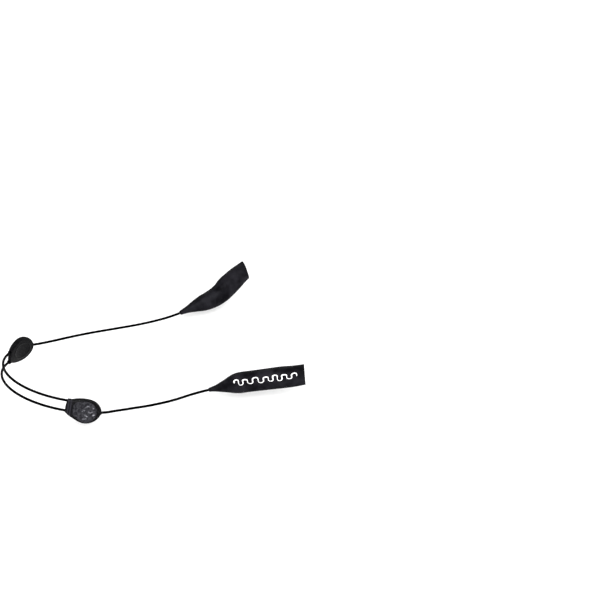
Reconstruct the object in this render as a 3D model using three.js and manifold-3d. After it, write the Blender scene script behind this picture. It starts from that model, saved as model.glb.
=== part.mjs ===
// Eyeglass retainer strap: two steel cables in a smooth coat, each with a rubber temple sleeve on one end,
// joined into one adjustable loop by two sliders. Each cable passes through the silicone bush of one
// slider and is crimped into the socket of the other, so the two strands run side by side between them.
// Millimetres, +Z up. The origin is under the middle of the sleeves and sliders, on the surface they rest
// on. +X points towards the glasses and +Y towards the wearer's left sleeve, which is called the far one.

import * as THREE from "three";
import { mergeVertices } from "three/addons/utils/BufferGeometryUtils.js";
import Module from "manifold-3d";

const wasm = await Module();
wasm.setup();

// The places below are measured from a point beside the middle; the strap is moved to make this the origin
const ORIGIN = new THREE.Vector3(-0.14, -1.06, -0.9);

// Loop: both strands lie on circles about one slanting axis
const LOOP_RADIUS = 24.6;
const LOOP_CENTRE = new THREE.Vector3(-26.87, -17.13, 6.4);
const LOOP_AXIS = new THREE.Vector3(0.2714, -0.0516, 0.9611).normalize();
const STRAND_GAP = 3.7; // between the centre lines of the two strands, along the axis
const NEAR_SLIDER_DEG = 271.3; // angle of each slider about the loop's axis
const FAR_SLIDER_DEG = 134.4;
const ARM_START_DEG = 19; // a strand leaves the circle this far past its slider

// Cable
const COAT_R = 0.45;
const COAT_BORE_R = 0.34;
const CORE_R = 0.24;
const CABLE_SIDES = 8;
const CABLE_STEPS = 60;

// Slider, in its own frame: x towards its plain end, y towards its socket, z out of its face. The whole
// slider is bent with the loop, and heights are measured from the bent middle surface.
const SLIDER_OUTLINE = [
  [-6.0, -0.75], [-6.35, 1.4], [-5.85, 3.6], [-4.2, 4.45], [-1.85, 4.9], [1.0, 4.8], [3.45, 4.0],
  [5.2, 2.45], [6.0, 0.75], [5.65, -1.15], [4.0, -2.95], [1.55, -3.8], [-0.8, -3.55], [-3.45, -2.3],
];
const OUTLINE_STEPS = 34;
const DOME = { x: 6.3, y: 4.8, middle: 0.6 }; // half axes of the swell of both faces, and its middle in y
const FACE = { rim: 0.65, middle: 1.35 };
const BACK = { rim: 0.72, middle: 1.2 };
const EDGE = [[0.3, 1], [0.6, 1], [0.8, 1], [0.95, 1], [0.985, 0.8], [1, 0.45]]; // [share of outline, of height]
const SEAM_Z = -0.1;
const SEAM_GAP = 0.06;
const CABLE_PASSAGE_R = 0.6;
const PASSAGE_END = 8; // the passages are cut from beyond the slider's ends
const BOSS = { r: 0.78, start: -6.35, end: 5.95, socketStart: -5.95, socketEnd: 0 };
const BUSH_R = 0.72;
const BUSH_BORE_R = 0.52;
const BUSH_HALF = 2.5;
const BUSH_ROOM = { round: 0.06, ends: 0.1 };
const SOCKET = { start: -4.6, end: -0.1, r: 0.66, mouth: 0.56, overlap: 0.2 };
const FERRULE = { start: -4.25, end: -0.35, r: 0.57, bore: 0.32 };
const PIN = { r: 0.34, hole: 0.4, back: -0.9, front: 0.6, room: 0.1, places: [[-3.3, 1.85], [1.4, -2.25]] };
const BADGE = { middle: 0.5, x: 0.67, y: 0.88, floor: 0.9, gap: 0.03, margin: 0.015, rise: 0.07 };

// Sleeves: stations from the mouth to the tip as [x, y, z, half height, half thickness]
const NEAR_SLEEVE = [
  [47.6, -48.35, 5.05, 3.43, 2.7],
  [43.6, -47.6, 4.9, 3.53, 2.8],
  [40.4, -46.9, 4.9, 3.65, 2.9],
  [32.2, -44.4, 4.4, 3.52, 2.9],
  [26.3, -42.0, 3.74, 3.53, 2.8],
  [24.0, -41.0, 3.27, 3.13, 2.6],
  [21.5, -39.5, 2.45, 2.1, 1.95],
  [18.6, -37.7, 1.5, 1.08, 1.1],
  [16.4, -36.2, 0.76, 0.64, 0.64],
];
const FAR_SLEEVE = [
  [46.2, 46.3, 10.28, 3.18, 2.6],
  [43.7, 45.7, 9.0, 3.43, 2.8],
  [40.9, 44.9, 7.46, 3.82, 3.0],
  [38.2, 44.0, 5.95, 4.0, 3.0],
  [35.9, 43.1, 4.47, 3.7, 3.0],
  [33.1, 41.9, 3.45, 3.42, 2.9],
  [30.4, 40.7, 3.01, 3.15, 2.8],
  [27.7, 39.7, 2.78, 2.85, 2.5],
  [25.0, 38.8, 2.52, 2.11, 2.05],
  [21.9, 37.8, 2.11, 1.2, 1.3],
  [18.9, 36.7, 1.75, 0.7, 0.7],
];
const NEAR_MOUTH = new THREE.Vector3(0.982, -0.185, -0.04).normalize(); // directions the mouths face
const FAR_MOUTH = new THREE.Vector3(0.95, 0.12, 0.17).normalize();
const MOUTH_BLEND = 0.3; // share of the sleeve over which its sections turn to the mouth's direction
const SLEEVE_WALL = 0.7;
const SLEEVE_RINGS = 18;
const HOLE_RINGS = 6;
const CAVITY_RINGS = 8;
const SLEEVE_SIDES = 22;
const SLEEVE_SQUARENESS = 2.7; // exponent of the section's superellipse
const SLEEVE_HOLE = { tip: 0.54, inner: 0.72 }; // radii of the cable's hole at its two ends
const CAVITY_END = 0.78; // the cavity's end, as a share of the way from the mouth to the tip
const STOP = { start: 0.56, length: 4, r: 1, bore: 0.34 };

// Free stretches of cable, from the sleeve tip to where the strand joins its circle
const NEAR_ARM = [
  [13.7, -35.4, 0.24], [10.9, -35.8, 0.15], [7.9, -36.7, 0.16], [4.7, -37.7, 0.16], [1.2, -38.4, 0.16],
  [-2.3, -38.7, 0.16], [-6.0, -38.8, 0.17], [-9.6, -38.7, 0.26], [-13.2, -38.9, 0.45], [-16.6, -39.3, 0.75],
];
const FAR_ARM = [
  [13.6, 34.5, 1.71], [8.5, 32.1, 2.21], [3.5, 29.3, 3.09], [-1.4, 26.3, 4.22], [-6.1, 23.2, 5.49],
  [-10.9, 19.9, 6.83], [-15.6, 16.7, 8.12], [-20.5, 13.6, 9.27], [-25.6, 10.7, 10.24], [-30.7, 7.9, 11.1],
];

const COLOURS = {
  rubber: { color: 0x131418, roughness: 0.55, metalness: 0 },
  shell: { color: 0x0d0d11, roughness: 0.35, metalness: 0 },
  badge: { color: 0x34343a, roughness: 0.5, metalness: 0 },
  silicone: { color: 0x55575c, roughness: 0.6, metalness: 0 },
  coat: { color: 0x09090b, roughness: 0.25, metalness: 0 },
  steel: { color: 0x9a9ca0, roughness: 0.3, metalness: 1 },
  brass: { color: 0xa08a50, roughness: 0.35, metalness: 1 },
};

const radians = THREE.MathUtils.degToRad;
const loopX = new THREE.Vector3(0, 1, 0).cross(LOOP_AXIS).normalize();
const loopY = new THREE.Vector3().crossVectors(LOOP_AXIS, loopX);

function outward(deg) {
  const a = radians(deg);
  return loopX.clone().multiplyScalar(Math.cos(a)).addScaledVector(loopY, Math.sin(a));
}

function onLoop(deg, level) {
  return LOOP_CENTRE.clone().addScaledVector(outward(deg), LOOP_RADIUS).addScaledVector(LOOP_AXIS, level);
}

function mesh(name, geometry, look) {
  const made = new THREE.Mesh(geometry, new THREE.MeshStandardMaterial(COLOURS[look]));
  made.name = name;
  return made;
}

// ---- closed solids ----

function indexed(positions, triangles) {
  const geometry = new THREE.BufferGeometry();
  geometry.setAttribute("position", new THREE.Float32BufferAttribute(positions, 3));
  geometry.setIndex(triangles);
  return geometry;
}

// Rings of equally many points, joined in order; the ends are capped, or joined to each other
function loft(rings, { capped }) {
  const sides = rings[0].length;
  const positions = rings.flat().flatMap((p) => [p.x, p.y, p.z]);
  const triangles = [];
  const at = (ring, side) => (ring % rings.length) * sides + (side % sides);
  const spans = capped ? rings.length - 1 : rings.length;
  for (let ring = 0; ring < spans; ring += 1) {
    for (let side = 0; side < sides; side += 1) {
      triangles.push(at(ring, side), at(ring, side + 1), at(ring + 1, side + 1));
      triangles.push(at(ring, side), at(ring + 1, side + 1), at(ring + 1, side));
    }
  }
  if (capped) {
    for (const [ring, front] of [[0, false], [rings.length - 1, true]]) {
      const centre = new THREE.Vector3();
      rings[ring].forEach((p) => centre.addScaledVector(p, 1 / sides));
      const middle = positions.length / 3;
      positions.push(centre.x, centre.y, centre.z);
      for (let side = 0; side < sides; side += 1) {
        const pair = [at(ring, side), at(ring, side + 1)];
        triangles.push(middle, ...(front ? pair : pair.reverse()));
      }
    }
  }
  return facingOut(indexed(positions, triangles));
}

function volume(geometry) {
  const p = geometry.attributes.position;
  const [a, b, c] = [new THREE.Vector3(), new THREE.Vector3(), new THREE.Vector3()];
  let sum = 0;
  for (let i = 0; i < geometry.index.count; i += 3) {
    a.fromBufferAttribute(p, geometry.index.getX(i));
    b.fromBufferAttribute(p, geometry.index.getX(i + 1));
    c.fromBufferAttribute(p, geometry.index.getX(i + 2));
    sum += a.dot(b.cross(c)) / 6;
  }
  return sum;
}

function facingOut(geometry) {
  if (volume(geometry) > 0) return geometry;
  const flipped = Array.from(geometry.index.array);
  for (let i = 0; i < flipped.length; i += 3) {
    [flipped[i], flipped[i + 1]] = [flipped[i + 1], flipped[i]];
  }
  geometry.setIndex(flipped);
  return geometry;
}

// A tube along a curve, solid or with a bore
function tube(curve, radius, steps, { bore = 0, sides = CABLE_SIDES } = {}) {
  const ring = (r) => Array.from({ length: sides }, (_, i) => {
    const a = (2 * Math.PI * i) / sides;
    return new THREE.Vector2(r * Math.cos(a), r * Math.sin(a));
  });
  const section = new THREE.Shape(ring(radius));
  if (bore > 0) section.holes.push(new THREE.Path(ring(bore)));
  const geometry = new THREE.ExtrudeGeometry(section, { steps, extrudePath: curve, bevelEnabled: false });
  geometry.deleteAttribute("normal");
  geometry.deleteAttribute("uv");
  return facingOut(mergeVertices(geometry, 1e-4));
}

function solid(geometry) {
  const bare = geometry.clone();
  bare.deleteAttribute("normal");
  bare.deleteAttribute("uv");
  const merged = facingOut(mergeVertices(bare, 1e-4));
  return new wasm.Manifold(new wasm.Mesh({
    numProp: 3,
    vertProperties: new Float32Array(merged.attributes.position.array),
    triVerts: new Uint32Array(merged.index.array),
  }));
}

function surface(manifold) {
  const made = manifold.getMesh();
  return indexed(Array.from(made.vertProperties), Array.from(made.triVerts));
}

// ---- slider ----

const outlineCurve = new THREE.CatmullRomCurve3(
  SLIDER_OUTLINE.map(([x, y]) => new THREE.Vector3(x, y, 0)), true, "centripetal");
const outline = outlineCurve.getSpacedPoints(OUTLINE_STEPS).slice(0, OUTLINE_STEPS);

const bend = (x) => LOOP_RADIUS * (Math.cos(x / LOOP_RADIUS) - 1);

function domed({ rim, middle }, x, y) {
  const out = (x / DOME.x) ** 2 + ((y - DOME.middle) / DOME.y) ** 2;
  return rim + (middle - rim) * Math.max(0, 1 - out ** 2);
}

// The outline, shrunk towards its middle; height gives each point's height above the middle surface
function outlineRing(share, height, { middle = 0, x: wide = 1, y: tall = 1 } = {}) {
  return outline.map((p) => {
    const x = middle + (p.x - middle) * wide * share;
    const y = DOME.middle + (p.y - DOME.middle) * tall * share;
    return new THREE.Vector3(x, y, height(x, y) + bend(x));
  });
}

// The loop's arc as seen from a slider: its centre lies one loop radius behind the slider's face axis
class SliderArc extends THREE.Curve {
  constructor(from, to, y) {
    super();
    Object.assign(this, { from, to, y });
  }

  getPoint(t, target = new THREE.Vector3()) {
    const a = THREE.MathUtils.lerp(this.from, this.to, t) / LOOP_RADIUS;
    return target.set(LOOP_RADIUS * Math.sin(a), this.y, LOOP_RADIUS * (Math.cos(a) - 1));
  }
}

const passage = (from, to, y, r, options = {}) =>
  tube(new SliderArc(from, to, y), r, 6, { sides: 12, ...options });

function sliderBody() {
  const back = EDGE.map(([share, part]) => outlineRing(share, (x, y) => -part * domed(BACK, x, y)));
  const face = EDGE.map(([share, part]) => outlineRing(share, (x, y) => part * domed(FACE, x, y)));
  const body = solid(loft([...back, ...face.reverse()], { capped: true }))
    .add(solid(passage(BOSS.start, BOSS.end, 0, BOSS.r)))
    .add(solid(passage(BOSS.socketStart, BOSS.socketEnd, STRAND_GAP, BOSS.r)));
  const recess = { middle: BADGE.middle, x: BADGE.x + BADGE.margin, y: BADGE.y + BADGE.margin };
  const cuts = [
    passage(-PASSAGE_END, PASSAGE_END, 0, CABLE_PASSAGE_R),
    passage(-BUSH_HALF - BUSH_ROOM.ends, BUSH_HALF + BUSH_ROOM.ends, 0, BUSH_R + BUSH_ROOM.round),
    passage(-PASSAGE_END, SOCKET.start + SOCKET.overlap, STRAND_GAP, SOCKET.mouth),
    passage(SOCKET.start, SOCKET.end, STRAND_GAP, SOCKET.r),
    loft([BADGE.floor, FACE.middle + 1].map((z) => outlineRing(1, () => z, recess)), { capped: true }),
  ];
  for (const [x, y] of PIN.places) {
    const depth = PIN.front - PIN.back + 2 * PIN.room;
    const hole = new THREE.CylinderGeometry(PIN.hole, PIN.hole, depth, 12).rotateX(Math.PI / 2);
    cuts.push(hole.translate(x, y, (PIN.front + PIN.back) / 2 + bend(x)));
  }
  return cuts.reduce((left, cut) => left.subtract(solid(cut)), body);
}

// Everything on one side of the bent seam
function sideOfSeam(above) {
  const size = 20;
  const edge = SEAM_Z + (above ? SEAM_GAP : -SEAM_GAP) / 2;
  const block = new THREE.BoxGeometry(size, size, size, size, 1, 1);
  block.translate(0, 0, edge + (above ? size : -size) / 2);
  const places = block.attributes.position;
  for (let i = 0; i < places.count; i += 1) {
    places.setZ(i, places.getZ(i) + bend(places.getX(i)));
  }
  return solid(block);
}

function ferruleGeometry({ start, end, r, bore }, y) {
  return passage(start, end, y, r, { bore, sides: 12 });
}

function badgeGeometry() {
  const onFace = (rise) => (x, y) => domed(FACE, x, y) + rise;
  return loft([
    outlineRing(1, () => BADGE.floor + BADGE.gap, BADGE),
    outlineRing(1, onFace(0), BADGE),
    outlineRing(0.96, onFace(BADGE.rise), BADGE),
    outlineRing(0.7, onFace(BADGE.rise), BADGE),
    outlineRing(0.35, onFace(BADGE.rise), BADGE),
  ], { capped: true });
}

const body = sliderBody();
const outerShell = surface(body.intersect(sideOfSeam(true)));
const innerShell = surface(body.intersect(sideOfSeam(false)));

function slider(side, deg, level, turn) {
  const group = new THREE.Group();
  const out = outward(deg);
  const yAxis = LOOP_AXIS.clone().multiplyScalar(turn);
  const xAxis = new THREE.Vector3().crossVectors(yAxis, out);
  group.setRotationFromMatrix(new THREE.Matrix4().makeBasis(xAxis, yAxis, out));
  group.position.copy(onLoop(deg, level));
  group.add(
    mesh(`${side}_slider_outer_shell`, outerShell.clone(), "shell"),
    mesh(`${side}_slider_inner_shell`, innerShell.clone(), "shell"),
    mesh(`${side}_slider_badge`, badgeGeometry(), "badge"),
    mesh(`${side}_slider_bush`, passage(-BUSH_HALF, BUSH_HALF, 0, BUSH_R, { bore: BUSH_BORE_R }), "silicone"),
    mesh(`${side}_slider_ferrule`, ferruleGeometry(FERRULE, STRAND_GAP), "brass"),
  );
  PIN.places.forEach(([x, y], i) => {
    const pin = new THREE.CylinderGeometry(PIN.r, PIN.r, PIN.front - PIN.back, 12);
    const made = mesh(`${side}_slider_pin_${i + 1}`, pin, "steel");
    made.rotation.x = Math.PI / 2;
    made.position.set(x, y, (PIN.front + PIN.back) / 2 + bend(x));
    group.add(made);
  });
  return group;
}

// ---- sleeves ----

function sleeveAxis(stations) {
  return new THREE.CatmullRomCurve3(stations.map(([x, y, z]) => new THREE.Vector3(x, y, z)), false, "centripetal");
}

function sleeveRing(curve, stations, mouth, t, { inset = 0, r = null }) {
  const place = t * (stations.length - 1);
  const low = Math.min(Math.floor(place), stations.length - 2);
  const mix = (k) => THREE.MathUtils.lerp(stations[low][k], stations[low + 1][k], place - low);
  const height = r ?? mix(3) - inset;
  const thickness = r ?? mix(4) - inset;
  const squareness = r === null ? SLEEVE_SQUARENESS : 2;
  const centre = curve.getPoint(t);
  const along = curve.getTangent(t);
  const up = new THREE.Vector3(0, 0, 1).addScaledVector(along, -along.z).normalize();
  const across = new THREE.Vector3().crossVectors(along, up);
  const turned = Math.max(0, 1 - t / MOUTH_BLEND);
  return Array.from({ length: SLEEVE_SIDES }, (_, i) => {
    const a = (2 * Math.PI * i) / SLEEVE_SIDES;
    const bulge = (v) => Math.sign(v) * Math.abs(v) ** (2 / squareness);
    const out = across.clone().multiplyScalar(thickness * bulge(Math.cos(a)))
      .addScaledVector(up, height * bulge(Math.sin(a)));
    return centre.clone().add(out).addScaledVector(along, -turned * out.dot(mouth) / along.dot(mouth));
  });
}

function sleeveGeometry(stations, mouth) {
  const curve = sleeveAxis(stations);
  const rings = [];
  for (let i = 0; i < SLEEVE_RINGS; i += 1) {
    rings.push(sleeveRing(curve, stations, mouth, i / (SLEEVE_RINGS - 1), {}));
  }
  for (let i = 0; i < HOLE_RINGS; i += 1) {
    const share = i / (HOLE_RINGS - 1);
    const r = THREE.MathUtils.lerp(SLEEVE_HOLE.tip, SLEEVE_HOLE.inner, share);
    rings.push(sleeveRing(curve, stations, mouth, 1 - share * (1 - CAVITY_END - 0.01), { r }));
  }
  for (let i = 0; i < CAVITY_RINGS; i += 1) {
    const t = CAVITY_END * (1 - i / (CAVITY_RINGS - 1));
    rings.push(sleeveRing(curve, stations, mouth, t, { inset: SLEEVE_WALL }));
  }
  return loft(rings, { capped: false });
}

// ---- cables ----

function strandArc(fromDeg, toDeg, level) {
  const count = Math.round(Math.abs(toDeg - fromDeg) / 5);
  return Array.from({ length: count + 1 }, (_, i) =>
    onLoop(THREE.MathUtils.lerp(fromDeg, toDeg, i / count), level));
}

const lengthToDeg = (length) => THREE.MathUtils.radToDeg(length / LOOP_RADIUS);

// From inside the sleeve, along the free arm and round the loop to the other slider's socket
function cableRoute(stations, arm, arc) {
  const sleeve = sleeveAxis(stations);
  const inside = [0, 0.25, 0.5, 0.75, 1].map((share) => sleeve.getPoint(STOP.start + (1 - STOP.start) * share));
  return new THREE.CatmullRomCurve3(
    [...inside, ...arm.map((p) => new THREE.Vector3(...p)), ...arc], false, "centripetal");
}

class Stretch extends THREE.Curve {
  constructor(route, from, to) {
    super();
    const points = route.getSpacedPoints(400);
    const keep = points.filter((_, i) => i / 400 >= from && i / 400 <= to);
    this.inner = new THREE.CatmullRomCurve3(keep, false, "centripetal");
  }

  getPoint(t, target) {
    return this.inner.getPointAt(t, target);
  }
}

function cable(side, route) {
  const length = route.getLength();
  const stopEnd = STOP.length / length;
  const socketPart = (FERRULE.end - FERRULE.start + 0.15) / length;
  return [
    mesh(`${side}_cable_coat`, tube(new Stretch(route, stopEnd + 0.002, 1 - socketPart), COAT_R, CABLE_STEPS,
      { bore: COAT_BORE_R }), "coat"),
    mesh(`${side}_cable_core`, tube(new Stretch(route, 0.003, 0.997), CORE_R, CABLE_STEPS), "steel"),
    mesh(`${side}_sleeve_stop`, tube(new Stretch(route, 0, stopEnd - 0.002), STOP.r, 4,
      { bore: STOP.bore, sides: 12 }), "brass"),
  ];
}

const half = STRAND_GAP / 2;
const socketDeg = lengthToDeg(-FERRULE.end);
const nearArc = strandArc(NEAR_SLIDER_DEG + ARM_START_DEG, FAR_SLIDER_DEG + socketDeg, -half);
const farArc = strandArc(FAR_SLIDER_DEG - ARM_START_DEG, NEAR_SLIDER_DEG - socketDeg, half);

const strap = new THREE.Group();
strap.position.copy(ORIGIN).negate();
strap.add(
  mesh("near_sleeve", sleeveGeometry(NEAR_SLEEVE, NEAR_MOUTH), "rubber"),
  mesh("far_sleeve", sleeveGeometry(FAR_SLEEVE, FAR_MOUTH), "rubber"),
  ...cable("near", cableRoute(NEAR_SLEEVE, NEAR_ARM, nearArc)),
  ...cable("far", cableRoute(FAR_SLEEVE, FAR_ARM, farArc)),
  slider("near", NEAR_SLIDER_DEG, -half, 1),
  slider("far", FAR_SLIDER_DEG, half, -1),
);

export default strap;
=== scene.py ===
"""Eyeglass retainer strap: fine surfaces, materials, floor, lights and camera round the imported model.

Shapes are written in millimetres and scaled to metres where they are made. Places are written as in the
CAD source, from a point beside the middle, and ORIGIN moves them to the part's own frame.
"""
import math

import bmesh
import bpy
from mathutils import Matrix, Vector, noise


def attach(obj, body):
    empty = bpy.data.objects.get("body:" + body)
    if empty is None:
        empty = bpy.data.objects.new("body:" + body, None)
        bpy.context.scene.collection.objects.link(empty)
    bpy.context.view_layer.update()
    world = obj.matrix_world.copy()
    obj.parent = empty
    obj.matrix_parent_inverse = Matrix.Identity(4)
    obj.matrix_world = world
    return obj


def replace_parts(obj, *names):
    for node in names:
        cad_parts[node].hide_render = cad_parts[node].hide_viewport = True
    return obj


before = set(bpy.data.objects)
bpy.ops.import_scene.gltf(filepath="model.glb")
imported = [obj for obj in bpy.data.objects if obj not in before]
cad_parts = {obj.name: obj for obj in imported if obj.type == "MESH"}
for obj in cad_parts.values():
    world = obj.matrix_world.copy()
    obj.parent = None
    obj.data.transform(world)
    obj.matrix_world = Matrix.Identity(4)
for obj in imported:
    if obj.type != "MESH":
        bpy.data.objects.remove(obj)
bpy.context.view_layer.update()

MM = 0.001
ORIGIN = Vector((-0.14, -1.06, -0.9))
UP = Vector((0, 0, 1))

# ---- camera ----

CAMERA_PLACE = (-0.08451, -0.82594, 0.33938)
CAMERA_RIGHT = (0.9717, -0.2096, -0.1090)
CAMERA_FORWARD = (0.15762, 0.91882, -0.36185)
CAMERA_LENS, SENSOR_WIDTH = 152.94, 36


def make_camera():
    data = bpy.data.cameras.new("camera")
    data.sensor_width = SENSOR_WIDTH
    data.lens = CAMERA_LENS
    data.clip_start, data.clip_end = 0.01, 50
    camera = bpy.data.objects.new("camera", data)
    bpy.context.scene.collection.objects.link(camera)
    back = -Vector(CAMERA_FORWARD).normalized()
    right = (Vector(CAMERA_RIGHT) - back * back.dot(Vector(CAMERA_RIGHT))).normalized()
    turn = Matrix((right, back.cross(right), back)).transposed()
    camera.matrix_world = Matrix.Translation(CAMERA_PLACE) @ turn.to_4x4()
    bpy.context.scene.camera = camera


make_camera()

# ---- curves and routes, as in the CAD source ----

LOOP_RADIUS = 24.6
LOOP_CENTRE = Vector((-26.87, -17.13, 6.4))
LOOP_AXIS = Vector((0.2714, -0.0516, 0.9611)).normalized()
STRAND_GAP = 3.7
NEAR_SLIDER_DEG = 271.3
FAR_SLIDER_DEG = 134.4
ARM_START_DEG = 19
COAT_R = 0.45
STOP_START, STOP_LENGTH = 0.56, 4  # where the cable starts inside the sleeve, and the length in the stop
FERRULE_END, FERRULE_LENGTH = -0.35, 3.9
ROUTE_POINTS = 900
ARC_STEP_DEG = 5

# stations from the mouth to the tip: x, y, z, half height, half thickness
NEAR_SLEEVE = [
    (47.6, -48.35, 5.05, 3.43, 2.7), (43.6, -47.6, 4.9, 3.53, 2.8), (40.4, -46.9, 4.9, 3.65, 2.9),
    (32.2, -44.4, 4.4, 3.52, 2.9), (26.3, -42.0, 3.74, 3.53, 2.8), (24.0, -41.0, 3.27, 3.13, 2.6),
    (21.5, -39.5, 2.45, 2.1, 1.95), (18.6, -37.7, 1.5, 1.08, 1.1), (16.4, -36.2, 0.76, 0.64, 0.64),
]
FAR_SLEEVE = [
    (46.2, 46.3, 10.28, 3.18, 2.6), (43.7, 45.7, 9.0, 3.43, 2.8), (40.9, 44.9, 7.46, 3.82, 3.0),
    (38.2, 44.0, 5.95, 4.0, 3.0), (35.9, 43.1, 4.47, 3.7, 3.0), (33.1, 41.9, 3.45, 3.42, 2.9),
    (30.4, 40.7, 3.01, 3.15, 2.8), (27.7, 39.7, 2.78, 2.85, 2.5), (25.0, 38.8, 2.52, 2.11, 2.05),
    (21.9, 37.8, 2.11, 1.2, 1.3), (18.9, 36.7, 1.75, 0.7, 0.7),
]
NEAR_MOUTH = Vector((0.982, -0.185, -0.04)).normalized()
FAR_MOUTH = Vector((0.95, 0.12, 0.17)).normalized()
MOUTH_BLEND = 0.3
NEAR_ARM = [
    (13.7, -35.4, 0.24), (10.9, -35.8, 0.15), (7.9, -36.7, 0.16), (4.7, -37.7, 0.16), (1.2, -38.4, 0.16),
    (-2.3, -38.7, 0.16), (-6.0, -38.8, 0.17), (-9.6, -38.7, 0.26), (-13.2, -38.9, 0.45), (-16.6, -39.3, 0.75),
]
FAR_ARM = [
    (13.6, 34.5, 1.71), (8.5, 32.1, 2.21), (3.5, 29.3, 3.09), (-1.4, 26.3, 4.22), (-6.1, 23.2, 5.49),
    (-10.9, 19.9, 6.83), (-15.6, 16.7, 8.12), (-20.5, 13.6, 9.27), (-25.6, 10.7, 10.24), (-30.7, 7.9, 11.1),
]

loop_x = Vector((0, 1, 0)).cross(LOOP_AXIS).normalized()
loop_y = LOOP_AXIS.cross(loop_x)


def outward(deg):
    a = math.radians(deg)
    return loop_x * math.cos(a) + loop_y * math.sin(a)


def on_loop(deg, level):
    return LOOP_CENTRE + outward(deg) * LOOP_RADIUS + LOOP_AXIS * level


def spline_point(points, t, closed=False):
    """A point of the centripetal Catmull-Rom curve through the points, at t from 0 to 1."""
    count = len(points)
    place = (count if closed else count - 1) * t
    i = min(math.floor(place), count - 1 if closed else count - 2)
    w = place - i
    if closed:
        p0, p1, p2, p3 = (points[(i + k) % count] for k in (-1, 0, 1, 2))
    else:
        p1, p2 = points[i], points[i + 1]
        p0 = points[i - 1] if i > 0 else p1 * 2 - p2
        p3 = points[i + 2] if i + 2 < count else p2 * 2 - p1
    d0, d1, d2 = ((b - a).length ** 0.5 for a, b in ((p0, p1), (p1, p2), (p2, p3)))
    t1 = ((p1 - p0) / d0 - (p2 - p0) / (d0 + d1) + (p2 - p1) / d1) * d1
    t2 = ((p2 - p1) / d1 - (p3 - p1) / (d1 + d2) + (p3 - p2) / d2) * d1
    return p1 + t1 * w + (p1 * -3 + p2 * 3 - t1 * 2 - t2) * w**2 + (p1 * 2 - p2 * 2 + t1 + t2) * w**3


def spline(points, count, closed=False):
    last = count if closed else count - 1
    return [spline_point(points, i / last, closed) for i in range(count)]


def lengths_along(line):
    at = [0.0]
    for a, b in zip(line, line[1:]):
        at.append(at[-1] + (b - a).length)
    return at


def even_points(line, count, start=0.0, end=None):
    """count points evenly spaced along the line, from start to end, which are lengths."""
    at = lengths_along(line)
    end = at[-1] if end is None else end
    made, k = [], 0
    for i in range(count):
        s = start + (end - start) * i / (count - 1)
        while k < len(line) - 2 and at[k + 1] < s:
            k += 1
        made.append(line[k].lerp(line[k + 1], (s - at[k]) / (at[k + 1] - at[k])))
    return made


def strand_arc(from_deg, to_deg, level):
    count = round(abs(to_deg - from_deg) / ARC_STEP_DEG)
    return [on_loop(from_deg + (to_deg - from_deg) * i / count, level) for i in range(count + 1)]


def sleeve_axis(stations):
    return [Vector(s[:3]) for s in stations]


def cable_route(stations, arm, arc):
    """From inside the sleeve, along the free arm and round the loop to the other slider's socket."""
    axis = sleeve_axis(stations)
    inside = [spline_point(axis, STOP_START + (1 - STOP_START) * share) for share in (0, 0.25, 0.5, 0.75, 1)]
    return spline([*inside, *map(Vector, arm), *arc], ROUTE_POINTS)


# ---- meshes ----


def new_object(name, vertices, faces, place=None):
    """A mesh object from points in millimetres; place is a slider's matrix, or None for the places above."""
    mesh = bpy.data.meshes.new(name)
    move = place or Matrix.Translation(-ORIGIN)
    mesh.from_pydata([(move @ v) * MM for v in vertices], [], faces)
    mesh.validate()
    made = bpy.data.objects.new(name, mesh)
    bpy.context.scene.collection.objects.link(made)
    return made


def smooth(piece, degrees=35):
    piece.data.shade_smooth()
    piece.data.set_sharp_from_angle(angle=math.radians(degrees))
    return piece


def loft_faces(rings, sides, capped):
    faces = []
    spans = rings - 1 if capped else rings
    for r in range(spans):
        for s in range(sides):
            a, b = r * sides + s, r * sides + (s + 1) % sides
            c, d = ((r + 1) % rings) * sides + (s + 1) % sides, ((r + 1) % rings) * sides + s
            faces.append((a, b, c, d))
    if capped:
        faces.append(tuple(reversed(range(sides))))
        faces.append(tuple(range((rings - 1) * sides, rings * sides)))
    return faces


def face_out(piece):
    """Turns the faces round if the closed mesh is inside out."""
    mesh = piece.data
    mesh.calc_loop_triangles()
    total = 0.0
    for tri in mesh.loop_triangles:
        a, b, c = (mesh.vertices[i].co for i in tri.vertices)
        total += a.dot(b.cross(c))
    if total < 0:
        mesh.flip_normals()
    return piece


def tube(name, line, radius, sides, place=None):
    """A closed tube along the line; radius is a function of the length along it and the angle round it."""
    tangents = []
    for i in range(len(line)):
        tangents.append((line[min(i + 1, len(line) - 1)] - line[max(i - 1, 0)]).normalized())
    side = tangents[0].orthogonal().normalized()
    vertices = []
    for p, t, s in zip(line, tangents, lengths_along(line)):
        side = (side - t * side.dot(t)).normalized()
        other = t.cross(side)
        for k in range(sides):
            a = 2 * math.pi * k / sides
            vertices.append(p + (side * math.cos(a) + other * math.sin(a)) * radius(s, a))
    return face_out(new_object(name, vertices, loft_faces(len(line), sides, True), place))


# ---- cables ----

STRANDS = 7
LAY_LENGTH = 9.0
STRAND_DEPTH = 0.012
CABLE_RINGS, CABLE_SIDES = 420, 28
STOP_GAP_SHARE, FERRULE_GAP = 0.002, 0.15  # room between the coat and the metal at its two ends


def cable_surface(s, a):
    """The coat's radius: the strands of the steel cable show through it very faintly."""
    phase = STRANDS * a + 2 * math.pi * s / LAY_LENGTH * STRANDS
    return COAT_R - STRAND_DEPTH * (0.5 + 0.5 * math.cos(phase))


def make_cable(name, stations, arm, arc, body, node):
    route = cable_route(stations, arm, arc)
    whole = lengths_along(route)[-1]
    start = STOP_LENGTH + STOP_GAP_SHARE * whole
    line = even_points(route, CABLE_RINGS, start, whole - FERRULE_LENGTH - FERRULE_GAP)
    piece = smooth(tube(name, line, cable_surface, CABLE_SIDES), 60)
    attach(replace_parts(piece, node), body)
    return piece


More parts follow.
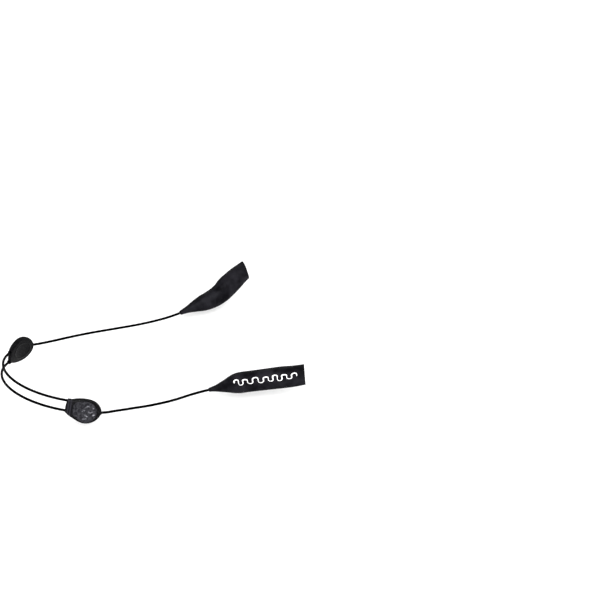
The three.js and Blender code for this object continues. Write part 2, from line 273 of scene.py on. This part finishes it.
socket_deg = math.degrees(-FERRULE_END / LOOP_RADIUS)
near_cable = make_cable(
    "near_cable", NEAR_SLEEVE, NEAR_ARM,
    strand_arc(NEAR_SLIDER_DEG + ARM_START_DEG, FAR_SLIDER_DEG + socket_deg, -STRAND_GAP / 2),
    "near_half", "near_cable_coat")
far_cable = make_cable(
    "far_cable", FAR_SLEEVE, FAR_ARM,
    strand_arc(FAR_SLIDER_DEG - ARM_START_DEG, NEAR_SLIDER_DEG - socket_deg, STRAND_GAP / 2),
    "far_half", "far_cable_coat")

# ---- sleeves ----

SLEEVE_SIDES = 128
SLEEVE_RINGS, HOLE_RINGS, CAVITY_RINGS = 130, 13, 30
SQUARENESS = 2.7  # exponent of the section's superellipse
WALL = 0.7
LIP_WIDTH = 0.2
HOLE_TIP_R, HOLE_INNER_R = 0.54, 0.72
CAVITY_END = 0.78


def section_sizes(stations, t):
    """Half height and half thickness at t, with the corners between the stations just rounded."""
    sizes = [0.0, 0.0]
    for offset, weight in ((-0.04, 0.1), (-0.02, 0.2), (0, 0.4), (0.02, 0.2), (0.04, 0.1)):
        place = min(max(t + offset, 0), 1) * (len(stations) - 1)
        low = min(math.floor(place), len(stations) - 2)
        for k in (0, 1):
            a, b = stations[low][3 + k], stations[low + 1][3 + k]
            sizes[k] += weight * (a + (b - a) * (place - low))
    return sizes


class Sleeve:
    """The sleeve's surface: point(t, angle) with t from the mouth to the tip."""

    def __init__(self, stations, mouth, seed):
        self.stations = stations
        self.axis = sleeve_axis(stations)
        self.mouth = mouth
        self.seed = seed

    def frame(self, t):
        """Centre of the section at t, and the directions across, up and along the sleeve."""
        step = 0.002
        centre = spline_point(self.axis, min(t, 1))
        along = spline_point(self.axis, min(t + step, 1)) - spline_point(self.axis, max(t - step, 0))
        along.normalize()
        up = (UP - along * along.z).normalized()
        return centre, along.cross(up), up, along

    def relief(self, t, angle):
        """Mould line on the top and bottom, and creases where the rubber is drawn in towards the tip."""
        cone = min(max((t - 0.5) / 0.18, 0), 1) * min(max((1 - t) / 0.15, 0), 1)
        line = 0.05 * math.exp(-((abs(math.sin(angle)) - 1) / 0.004) ** 2)
        crease = noise.noise(Vector((self.seed, 2.6 * math.cos(angle), 2.6 * math.sin(angle) + 0.8 * t)))
        wave = noise.noise(Vector((self.seed + 9 * t, 1.1 * math.cos(angle), 1.1 * math.sin(angle))))
        return line + 0.14 * crease * cone + 0.05 * wave * (1 - cone)

    def point(self, t, angle, inset=0.0, detail=True):
        centre, across, up, along = self.frame(t)
        height, thickness = section_sizes(self.stations, t)
        n = SQUARENESS
        c, s = abs(math.cos(angle)), abs(math.sin(angle))
        r = ((c / (thickness - inset)) ** n + (s / (height - inset)) ** n) ** (-1 / n)
        if detail:
            r += self.relief(t, angle)
        out = (across * math.cos(angle) + up * math.sin(angle)) * r
        turned = max(0, 1 - t / MOUTH_BLEND)
        return centre + out - along * (turned * out.dot(self.mouth) / along.dot(self.mouth))

    def ring(self, t, inset=0.0, detail=True):
        angles = (2 * math.pi * k / SLEEVE_SIDES for k in range(SLEEVE_SIDES))
        return [self.point(t, a, inset, detail) for a in angles]

    def round_ring(self, t, r):
        centre, across, up, _ = self.frame(t)
        angles = (2 * math.pi * k / SLEEVE_SIDES for k in range(SLEEVE_SIDES))
        return [centre + (across * math.cos(a) + up * math.sin(a)) * r for a in angles]

    def rings(self):
        """The outer surface, the cable's hole and the cavity, in order from the mouth and back to it."""
        made = []
        for i in range(SLEEVE_RINGS):
            made.append(self.ring(i / (SLEEVE_RINGS - 1)))
        for i in range(HOLE_RINGS):
            share = i / (HOLE_RINGS - 1)
            r = HOLE_TIP_R + (HOLE_INNER_R - HOLE_TIP_R) * share
            made.append(self.round_ring(1 - share * (1 - CAVITY_END - 0.01), r))
        for i in range(CAVITY_RINGS):
            made.append(self.ring(CAVITY_END * (1 - i / (CAVITY_RINGS - 1)), inset=WALL, detail=False))
        return made


def make_sleeve(name, stations, mouth, seed, body, node):
    sleeve = Sleeve(stations, mouth, seed)
    rings = sleeve.rings()
    flat = [p for ring in rings for p in ring]
    piece = face_out(new_object(name, flat, loft_faces(len(rings), SLEEVE_SIDES, False)))
    lip = piece.modifiers.new("lip", "BEVEL")
    lip.width = LIP_WIDTH * MM
    lip.segments = 3
    lip.limit_method = "ANGLE"
    lip.angle_limit = math.radians(50)
    smooth(piece, 60)
    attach(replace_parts(piece, node), body)
    return piece, sleeve


near_sleeve, near_form = make_sleeve(
    "near_sleeve_fine", NEAR_SLEEVE, NEAR_MOUTH, 3.1, "near_half", "near_sleeve")
far_sleeve, far_form = make_sleeve(
    "far_sleeve_fine", FAR_SLEEVE, FAR_MOUTH, 7.4, "far_half", "far_sleeve")

# ---- printed wave motif ----

PRINT_FROM, PRINT_TO = 2.6, 23.4  # lengths along the axis from the mouth
PRINT_LIFT, PRINT_DEPTH = 0.04, 0.1
PRINT_MIDDLE = 1.25  # height of the motif's middle above the sleeve's axis
PRINT_WAVES = 6.5
PRINT_STEPS = 360


def print_stroke():
    """The motif as points of (length, height, half width) in mm: one wavy line that swells and thins."""
    whole = PRINT_TO - PRINT_FROM
    stroke = []
    for i in range(PRINT_STEPS + 1):
        w = i / PRINT_STEPS
        swing = PRINT_WAVES * 2 * math.pi * w + 0.5 * math.sin(9 * w)
        high = 1.0 + 0.2 * math.sin(3.1 * w * 2 * math.pi + 0.8)
        half = 0.16 + 0.06 * math.sin(swing + 0.6)
        stroke.append((whole * w - 0.3 * math.sin(2 * swing), high * math.sin(swing), half))
    return stroke


def make_print(name, form, face_angle, body):
    """The ink stroke, which follows the sleeve's outer face."""
    steps = 400
    at = lengths_along([form.frame(i / steps)[0] for i in range(steps + 1)])

    def share(length):
        """The sleeve's t at a length along its axis."""
        k = next(i for i, s in enumerate(at) if s >= length)
        return (k - (at[k] - length) / (at[k] - at[k - 1])) / steps

    vertices, faces = [], []
    mirror = 1 if face_angle == 0 else -1
    stroke = print_stroke()
    last = len(stroke) - 1
    for i, (u, v, half) in enumerate(stroke):
        before, after = stroke[max(i - 1, 0)], stroke[min(i + 1, last)]
        du, dv = after[0] - before[0], after[1] - before[1]
        size = math.hypot(du, dv)
        for edge in (-1, 1):
            uu = u - edge * half * dv / size
            vv = v + edge * half * du / size + PRINT_MIDDLE
            t = share(PRINT_TO - uu)
            angle = face_angle + mirror * math.atan2(vv, section_sizes(form.stations, t)[1])
            base = form.point(t, angle)
            centre = form.frame(t)[0]
            for lift in (PRINT_LIFT, -PRINT_DEPTH):
                vertices.append(base + (base - centre).normalized() * lift)
    for a in range(0, 4 * last, 4):
        for p, q in ((0, 2), (2, 3), (3, 1), (1, 0)):
            faces.append((a + p, a + q, a + q + 4, a + p + 4))
    faces.append((0, 1, 3, 2))
    faces.append((4 * last, 4 * last + 2, 4 * last + 3, 4 * last + 1))
    piece = face_out(new_object(name, vertices, faces))
    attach(smooth(piece), body)
    return piece


near_print = make_print("near_sleeve_print", near_form, math.pi, "near_half")
far_print = make_print("far_sleeve_print", far_form, 0, "far_half")

# ---- sliders ----

SLIDER_OUTLINE = [
    (-6.0, -0.75), (-6.35, 1.4), (-5.85, 3.6), (-4.2, 4.45), (-1.85, 4.9), (1.0, 4.8), (3.45, 4.0),
    (5.2, 2.45), (6.0, 0.75), (5.65, -1.15), (4.0, -2.95), (1.55, -3.8), (-0.8, -3.55), (-3.45, -2.3),
]
OUTLINE_STEPS = 144
DOME_X, DOME_Y, DOME_MIDDLE = 6.3, 4.8, 0.6
FACE, BACK = (0.65, 1.35), (0.72, 1.2)  # heights at the rim and in the middle
SEAM_Z, SEAM_GAP = -0.1, 0.06
PASSAGE_R, BUSH_HOLE_R, BUSH_HALF = 0.6, 0.78, 2.5
SOCKET_START, SOCKET_END, SOCKET_R, SOCKET_MOUTH_R = -4.6, -0.1, 0.66, 0.56
BOSS_R, BOSS_START, BOSS_END, SOCKET_BOSS_START = 0.78, -6.35, 5.95, -5.95
PIN_HOLE, PIN_BACK, PIN_FRONT = 0.4, -0.9, 0.6
PIN_PLACES = [(-3.3, 1.85), (1.4, -2.25)]
BADGE_MIDDLE, BADGE_X, BADGE_Y, BADGE_MARGIN = 0.5, 0.67, 0.88, 0.015
BADGE_FLOOR, BADGE_BOTTOM, BADGE_RISE = 0.9, 0.93, 0.07
WAVE_HEIGHT = 0.11  # of the raised waves on the badge
SLIVER = 1e-6  # metres

outline = even_points(
    spline([Vector((x, y, 0)) for x, y in SLIDER_OUTLINE], 1200, closed=True)
    + [spline_point([Vector((x, y, 0)) for x, y in SLIDER_OUTLINE], 0, True)],
    OUTLINE_STEPS + 1)[:-1]


def bend(x):
    """Height of the slider's middle surface, which follows the loop."""
    return LOOP_RADIUS * (math.cos(x / LOOP_RADIUS) - 1)


def domed(side, x, y):
    """Height of the face or the back above the middle surface."""
    rim, middle = side
    out = (x / DOME_X) ** 2 + ((y - DOME_MIDDLE) / DOME_Y) ** 2
    return rim + (middle - rim) * max(0, 1 - out**2)


def outline_ring(share, height, middle=0.0, wide=1.0, tall=1.0):
    """The outline, shrunk towards its middle; height is that of each point above the middle surface."""
    made = []
    for p in outline:
        x = middle + (p.x - middle) * wide * share
        y = DOME_MIDDLE + (p.y - DOME_MIDDLE) * tall * share
        made.append(Vector((x, y, height(x, y) + bend(x))))
    return made


def slider_arc(x_from, x_to, y, count=24):
    """The cable's way through the slider, an arc of the loop."""
    made = []
    for i in range(count):
        a = (x_from + (x_to - x_from) * i / (count - 1)) / LOOP_RADIUS
        made.append(Vector((LOOP_RADIUS * math.sin(a), y, LOOP_RADIUS * (math.cos(a) - 1))))
    return made


LOCAL = Matrix.Identity(4)  # for pieces that are made in the slider's own frame
PASSAGE_END = 8  # the passages are cut from beyond the slider's ends
BUSH_ROOM, PIN_ROOM, SOCKET_OVERLAP = 0.1, 0.1, 0.2
FACE_TOP = 3.0  # above every point of the face


def lofted(name, rings):
    flat = [p for ring in rings for p in ring]
    return face_out(new_object(name, flat, loft_faces(len(rings), OUTLINE_STEPS, True), LOCAL))


def bar(name, x_from, x_to, y, r):
    return tube(name, slider_arc(x_from, x_to, y), lambda s, a: r, 40, LOCAL)


def side_of_seam(name, above):
    """A block that holds everything on one side of the bent seam."""
    edge = SEAM_Z + (SEAM_GAP if above else -SEAM_GAP) / 2
    low, high = (edge, 20) if above else (-20, edge)
    steps = 80
    vertices = []
    for i in range(steps + 1):
        x = -10 + 20 * i / steps
        vertices += [Vector((x, y, z + bend(x))) for y, z in ((-20, low), (20, low), (20, high), (-20, high))]
    return face_out(new_object(name, vertices, loft_faces(steps + 1, 4, True), LOCAL))


def combine(piece, others, operation):
    """Applies one boolean for each of the other solids, and removes them."""
    for other in others:
        step = piece.modifiers.new("cut", "BOOLEAN")
        step.operation = operation
        step.solver = "MANIFOLD"
        step.object = other
        bpy.context.view_layer.update()
        result = bpy.data.meshes.new_from_object(
            piece.evaluated_get(bpy.context.evaluated_depsgraph_get()))
        piece.modifiers.clear()
        piece.data = result
        bpy.data.objects.remove(other)
    return piece


RIB_PITCH = 0.75
RIB_DEPTH = 0.14


def in_ribbed_strip(x):
    """1 on the strip of fine ribs at the strand end, fading to 0 beside it."""
    return min(max((-4.2 - x) / 0.25, 0), 1) * min(max((x + 6.3) / 0.3, 0), 1)


def rib_crest(x):
    return in_ribbed_strip(x) * (0.5 - 0.5 * math.cos(2 * math.pi * x / RIB_PITCH))


def rib_depth(x):
    return RIB_DEPTH * (in_ribbed_strip(x) - rib_crest(x))


def back_ring(x, y):
    """A low oval ridge on the back."""
    out = math.sqrt((x / 4.0) ** 2 + ((y - DOME_MIDDLE) / 2.75) ** 2)
    return 0.12 * math.exp(-(((out - 1) / 0.075) ** 2))


def slider_body():
    """The whole slider as one solid, with its bosses, passages, socket, badge recess and pin holes."""
    shares = [0.3 + 0.025 * i for i in range(12)] + [0.6 + 0.0125 * i for i in range(28)]
    rim = []
    for i in range(9):
        a = math.pi / 2 * (1 - i / 8) + 0.3 * i / 8
        rim.append((0.95 + 0.05 * math.cos(a), math.sin(a)))
    back = [outline_ring(share, lambda x, y: -domed(BACK, x, y) - back_ring(x, y)) for share in shares]
    back += [outline_ring(share, lambda x, y: -part * domed(BACK, x, y)) for share, part in rim]
    groove = ((1.0, SEAM_Z - 0.09), (0.988, SEAM_Z - 0.02), (0.988, SEAM_Z + 0.02), (1.0, SEAM_Z + 0.09))
    middle = [outline_ring(share, lambda x, y: z) for share, z in groove]
    face = [outline_ring(share, lambda x, y: domed(FACE, x, y) - rib_depth(x)) for share in shares]
    face += [outline_ring(share, lambda x, y: part * domed(FACE, x, y)) for share, part in rim]
    body = lofted("body", [*back, *middle, *reversed(face)])
    bosses = [
        bar("boss", BOSS_START, BOSS_END, 0, BOSS_R),
        bar("boss", SOCKET_BOSS_START, 0, STRAND_GAP, BOSS_R),
    ]
    combine(body, bosses, "UNION")
    recess = {"middle": BADGE_MIDDLE, "wide": BADGE_X + BADGE_MARGIN, "tall": BADGE_Y + BADGE_MARGIN}
    cuts = [
        bar("passage", -PASSAGE_END, PASSAGE_END, 0, PASSAGE_R),
        bar("bush_room", -BUSH_HALF - BUSH_ROOM, BUSH_HALF + BUSH_ROOM, 0, BUSH_HOLE_R),
        bar("socket_mouth", -PASSAGE_END, SOCKET_START + SOCKET_OVERLAP, STRAND_GAP, SOCKET_MOUTH_R),
        bar("socket", SOCKET_START, SOCKET_END, STRAND_GAP, SOCKET_R),
        lofted("recess", [outline_ring(1, lambda x, y: z, **recess) for z in (BADGE_FLOOR, FACE_TOP)]),
    ]
    for x, y in PIN_PLACES:
        line = [Vector((x, y, z + bend(x))) for z in (PIN_BACK - PIN_ROOM, PIN_FRONT + PIN_ROOM)]
        cuts.append(tube("pin_hole", line, lambda s, a: PIN_HOLE, 24, LOCAL))
    return combine(body, cuts, "DIFFERENCE")


def badge_height(x, y):
    """Raised waves on the badge: rows of short crests, stronger towards the plain end."""
    total = 0.0
    for row, (centre, phase) in enumerate(((2.5, 0.2), (1.0, 1.3), (-0.6, 2.2), (-1.9, 0.9))):
        middle = centre + 0.32 * math.sin(1.7 * x + phase)
        crest = math.exp(-((y - middle) / 0.3) ** 2)
        broken = 0.55 + 0.45 * math.sin(2.3 * x + 2.1 * row + phase)
        total += crest * max(broken, 0)
    fade = min(max((x + 1.8) / 1.2, 0.08), 1)
    return total * fade


def make_badge(name, place):
    """The badge in its recess, with the raised waves and their height as the attribute "relief"."""
    badge = {"middle": BADGE_MIDDLE, "wide": BADGE_X, "tall": BADGE_Y}
    rings = [outline_ring(1, lambda x, y: BADGE_BOTTOM, **badge)]
    relief = [0.0] * OUTLINE_STEPS
    shares = [1.0, 0.992, 0.98, 0.96] + [0.94 * (1 - i / 46) for i in range(46)]
    for share in shares:
        fade = min(max((0.9 - share) / 0.1, 0), 1)
        edge = min((1 - share) / 0.04, 1)

        def height(x, y):
            relief.append(badge_height(x, y) * fade)
            grain = 0.012 * noise.noise(Vector((x * 1.9, y * 1.9, 4.2)))
            rise = BADGE_RISE * math.sin(math.pi / 2 * edge)
            return domed(FACE, x, y) + rise + WAVE_HEIGHT * relief[-1] + grain * edge

        rings.append(outline_ring(share, height, **badge))
    flat = [p for ring in rings for p in ring]
    piece = face_out(new_object(name, flat, loft_faces(len(rings), OUTLINE_STEPS, True), place))
    layer = piece.data.attributes.new("relief", "FLOAT", "POINT")
    layer.data.foreach_set("value", relief)
    return smooth(piece, 50)


body = slider_body()


def without_slivers(piece):
    """Merges the points that the cuts left closer together than the meshes' precision."""
    mesh = bmesh.new()
    mesh.from_mesh(piece.data)
    bmesh.ops.remove_doubles(mesh, verts=mesh.verts, dist=SLIVER)
    mesh.to_mesh(piece.data)
    mesh.free()
    return piece


def half_of(body, above):
    piece = body.copy()
    piece.data = body.data.copy()
    bpy.context.scene.collection.objects.link(piece)
    return without_slivers(combine(piece, [side_of_seam("half", above)], "INTERSECT"))


def placed(source, name, place):
    """A copy of a mesh that was made in the slider's own frame, put at its place.

    The attribute "ribs" is 1 on the crests of the ribs on the face, where the shell's material paints a
    highlight.
    """
    mesh = source.data.copy()
    crests = []
    for vertex in mesh.vertices:
        x, _, z = vertex.co / MM
        crests.append(rib_crest(x) if z - bend(x) > 0.3 else 0)
    mesh.attributes.new("ribs", "FLOAT", "POINT").data.foreach_set("value", crests)
    mesh.transform(Matrix.Scale(MM, 4) @ place @ Matrix.Scale(1 / MM, 4))
    piece = bpy.data.objects.new(name, mesh)
    bpy.context.scene.collection.objects.link(piece)
    return smooth(piece, 32)


outer_half, inner_half = half_of(body, True), half_of(body, False)


def slider_place(deg, level, turn):
    """The matrix from a slider's own frame to the part's, in mm; turn is -1 for the slider turned round."""
    out = outward(deg)
    y_axis = LOOP_AXIS * turn
    basis = Matrix((y_axis.cross(out), y_axis, out)).transposed().to_4x4()
    return Matrix.Translation(on_loop(deg, level) - ORIGIN) @ basis


shells, badges = [], []
for side, deg, level, turn, body_name in (
    ("near", NEAR_SLIDER_DEG, -STRAND_GAP / 2, 1, "far_half"),
    ("far", FAR_SLIDER_DEG, STRAND_GAP / 2, -1, "near_half"),
):
    place = slider_place(deg, level, turn)
    for source, part in ((outer_half, "outer_shell"), (inner_half, "inner_shell")):
        piece = placed(source, f"{side}_slider_{part}_fine", place)
        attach(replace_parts(piece, f"{side}_slider_{part}"), body_name)
        shells.append(piece)
    badge = make_badge(f"{side}_slider_badge_fine", place)
    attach(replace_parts(badge, f"{side}_slider_badge"), body_name)
    badges.append(badge)
for leftover in (body, outer_half, inner_half):
    bpy.data.objects.remove(leftover)

# ---- materials ----


class Look:
    """A principled material under construction, with short ways to add the usual nodes."""

    def __init__(self, name, **constants):
        self.material = bpy.data.materials.new(name)
        self.material.use_nodes = True
        self.tree = self.material.node_tree
        self.shader = self.tree.nodes["Principled BSDF"]
        for socket, value in constants.items():
            self.shader.inputs[socket.replace("_", " ").title().replace("Ior", "IOR")].default_value = value
        self.coordinates = self.add("TexCoord").outputs["Object"]
        self.bumps = []

    def add(self, kind, **values):
        node = self.tree.nodes.new("ShaderNode" + kind)
        for key, value in values.items():
            setattr(node, key, value)
        return node

    def link(self, source, target):
        self.tree.links.new(source, target)

    def noise(self, size_mm, detail=3, distortion=0.0, roughness=0.5):
        node = self.add("TexNoise")
        node.inputs["Scale"].default_value = 1 / (size_mm * MM)
        node.inputs["Detail"].default_value = detail
        node.inputs["Distortion"].default_value = distortion
        node.inputs["Roughness"].default_value = roughness
        self.link(self.coordinates, node.inputs["Vector"])
        return node.outputs["Fac"]

    def spread(self, value, from_low, from_high, low, high):
        node = self.add("MapRange")
        limits = {"From Min": from_low, "From Max": from_high, "To Min": low, "To Max": high}
        for name, number in limits.items():
            node.inputs[name].default_value = number
        self.link(value, node.inputs["Value"])
        return node.outputs["Result"]

    def mix(self, factor, a, b):
        node = self.add("Mix", data_type="RGBA")
        self.link(factor, node.inputs["Factor"])
        for socket, value in ((node.inputs[6], a), (node.inputs[7], b)):
            if isinstance(value, tuple):
                socket.default_value = (*value, 1)
            else:
                self.link(value, socket)
        return node.outputs[2]

    def bump(self, height, depth_mm, strength=1.0):
        node = self.add("Bump")
        node.inputs["Distance"].default_value = depth_mm * MM
        node.inputs["Strength"].default_value = strength
        self.link(height, node.inputs["Height"])
        if self.bumps:
            self.link(self.bumps[-1], node.inputs["Normal"])
        self.bumps.append(node.outputs["Normal"])

    def done(self, colour, roughness):
        self.link(colour, self.shader.inputs["Base Color"])
        self.link(roughness, self.shader.inputs["Roughness"])
        if self.bumps:
            self.link(self.bumps[-1], self.shader.inputs["Normal"])
        return self.material


def rubber_look():
    look = Look("satin_rubber", specular_ior_level=0.022)
    patches = look.spread(look.noise(3.5, 4), 0.35, 0.65, 0, 1)
    grain = look.noise(0.16, 3)
    specks = look.spread(look.noise(0.45, 2), 0.68, 0.78, 0, 1)
    colour = look.mix(patches, (0.0018, 0.0017, 0.0025), (0.0095, 0.0092, 0.0115))
    colour = look.mix(specks, colour, (0.013, 0.013, 0.015))
    look.bump(look.noise(1.4, 2), 0.05, 0.5)
    look.bump(grain, 0.02, 0.6)
    return look.done(colour, look.spread(look.noise(2.2, 4), 0.3, 0.7, 0.36, 0.56))


def shell_look():
    look = Look("moulded_plastic", specular_ior_level=0.03)
    patches = look.noise(1.2, 4)
    scratches = look.spread(look.noise(0.5, 2, 3.0), 0.60, 0.66, 0, 1)
    colour = look.mix(patches, (0.0006, 0.0006, 0.0008), (0.0035, 0.0035, 0.004))
    colour = look.mix(scratches, colour, (0.018, 0.018, 0.019))
    # painted highlight: the crests of the ribs get a lighter colour, as if lit
    ribs = look.add("Attribute", attribute_name="ribs").outputs["Fac"]
    colour = look.mix(ribs, colour, (0.017, 0.0165, 0.021))
    look.bump(look.noise(0.12, 2), 0.008, 0.5)
    return look.done(colour, look.spread(patches, 0.3, 0.7, 0.2, 0.36))


def badge_look():
    look = Look("embossed_badge", specular_ior_level=0.05)
    relief = look.add("Attribute", attribute_name="relief").outputs["Fac"]
    mottle = look.spread(look.noise(0.7, 4, 0.6), 0.35, 0.7, 0, 1)
    # light marks on the raised waves, strongest where they are tallest: partly wear, partly a painted
    # highlight on the crests
    wear_and_highlight = look.add("Math", operation="MULTIPLY")
    look.link(look.spread(relief, 0.25, 1.0, 0.1, 1), wear_and_highlight.inputs[0])
    look.link(mottle, wear_and_highlight.inputs[1])
    colour = look.mix(look.noise(2.0, 4), (0.0018, 0.0017, 0.003), (0.006, 0.0058, 0.008))
    colour = look.mix(wear_and_highlight.outputs[0], colour, (0.3, 0.3, 0.33))
    look.bump(look.noise(0.22, 3), 0.02, 0.6)
    return look.done(colour, look.spread(mottle, 0, 1, 0.34, 0.5))


def coat_look():
    look = Look("cable_coat", specular_ior_level=0.008)
    patches = look.noise(2.5, 3)
    colour = look.mix(patches, (0.0002, 0.0002, 0.00025), (0.0009, 0.0009, 0.001))
    look.bump(look.noise(0.15, 2), 0.006, 0.4)
    return look.done(colour, look.spread(patches, 0.3, 0.7, 0.2, 0.34))


def ink_look():
    look = Look("white_ink", specular_ior_level=0.3)
    cover = look.spread(look.noise(0.35, 3), 0.3, 0.6, 0, 1)
    colour = look.mix(cover, (0.42, 0.42, 0.42), (0.86, 0.86, 0.85))
    look.bump(look.noise(0.2, 2), 0.01, 0.4)
    return look.done(colour, look.spread(cover, 0, 1, 0.6, 0.45))


def metal_look(name, dark, light, low, high):
    look = Look(name, metallic=1.0)
    patches = look.noise(0.6, 4)
    lines = look.add("TexWave", wave_type="BANDS", bands_direction="DIAGONAL")
    lines.inputs["Scale"].default_value = 1 / (0.35 * MM)
    lines.inputs["Distortion"].default_value = 2.0
    look.link(look.coordinates, lines.inputs["Vector"])
    look.bump(lines.outputs["Fac"], 0.01, 0.4)
    return look.done(look.mix(patches, dark, light), look.spread(patches, 0.3, 0.7, low, high))


def silicone_look():
    look = Look("silicone", specular_ior_level=0.35)
    cloud = look.noise(0.8, 3)
    look.bump(look.noise(0.2, 2), 0.01, 0.4)
    return look.done(look.mix(cloud, (0.07, 0.075, 0.08), (0.12, 0.125, 0.13)),
                     look.spread(cloud, 0.3, 0.7, 0.45, 0.6))


def wear(piece, look):
    piece.data.materials.clear()
    piece.data.materials.append(look)


rubber, shell, badge_paint = rubber_look(), shell_look(), badge_look()
coat, ink, silicone = coat_look(), ink_look(), silicone_look()
steel = metal_look("stainless_steel", (0.32, 0.33, 0.34), (0.5, 0.51, 0.52), 0.22, 0.38)
brass = metal_look("brass", (0.26, 0.19, 0.08), (0.45, 0.34, 0.14), 0.28, 0.45)

for pieces, look in (
    ((near_sleeve, far_sleeve), rubber),
    ((near_print, far_print), ink),
    (shells, shell),
    (badges, badge_paint),
    ((near_cable, far_cable), coat),
):
    for piece in pieces:
        wear(piece, look)

for name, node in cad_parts.items():
    if name.endswith("_core") or "_pin_" in name:
        wear(node, steel)
    elif name.endswith(("_stop", "_ferrule")):
        wear(node, brass)
    elif name.endswith("_bush"):
        wear(node, silicone)
    elif name.endswith("_sleeve"):
        wear(node, rubber)
    elif name.endswith("_badge"):
        wear(node, badge_paint)
    elif name.endswith("_coat"):
        wear(node, coat)
    else:
        wear(node, shell)

# ---- floor, light and tone ----

FLOOR_HALF = 4.0
FLOOR_Z = -0.0017  # just below the lowest place that the near cable swings through


def floor_look():
    look = Look("pale_floor", specular_ior_level=0.1)
    cloud = look.noise(60, 3)
    look.bump(look.noise(3, 2), 0.02, 0.15)
    return look.done(look.mix(cloud, (0.93, 0.93, 0.93), (0.95, 0.95, 0.95)),
                     look.spread(cloud, 0, 1, 0.7, 0.8))


def make_floor():
    mesh = bpy.data.meshes.new("floor")
    s = FLOOR_HALF
    steps = 8
    vertices = [(-s + 2 * s * i / steps, -s + 2 * s * j / steps, FLOOR_Z)
                for i in range(steps + 1) for j in range(steps + 1)]
    row = steps + 1
    faces = [(i * row + j, (i + 1) * row + j, (i + 1) * row + j + 1, i * row + j + 1)
             for i in range(steps) for j in range(steps)]
    mesh.from_pydata(vertices, [], faces)
    floor = bpy.data.objects.new("floor", mesh)
    bpy.context.scene.collection.objects.link(floor)
    wear(floor, floor_look())


def softbox(name, place, size, watts, aim=(0, 0, 0)):
    data = bpy.data.lights.new(name, "AREA")
    data.shape = "DISK"
    data.size = size
    data.energy = watts
    lamp = bpy.data.objects.new(name, data)
    lamp.location = place
    lamp.rotation_euler = (Vector(aim) - Vector(place)).to_track_quat("-Z", "Y").to_euler()
    bpy.context.scene.collection.objects.link(lamp)


make_floor()
softbox("key_light", (-0.25, -1.3, 0.6), 1.1, 28)
softbox("fill_light", (0.8, -0.9, 0.7), 1.1, 12)
softbox("back_light", (-0.2, 0.9, 0.8), 1.0, 0.8)

world = bpy.data.worlds.new("studio")
world.use_nodes = True
world.node_tree.nodes["Background"].inputs["Color"].default_value = (1, 1, 1, 1)
world.node_tree.nodes["Background"].inputs["Strength"].default_value = 0.8
bpy.context.scene.world = world
bpy.context.scene.view_settings.view_transform = "Standard"
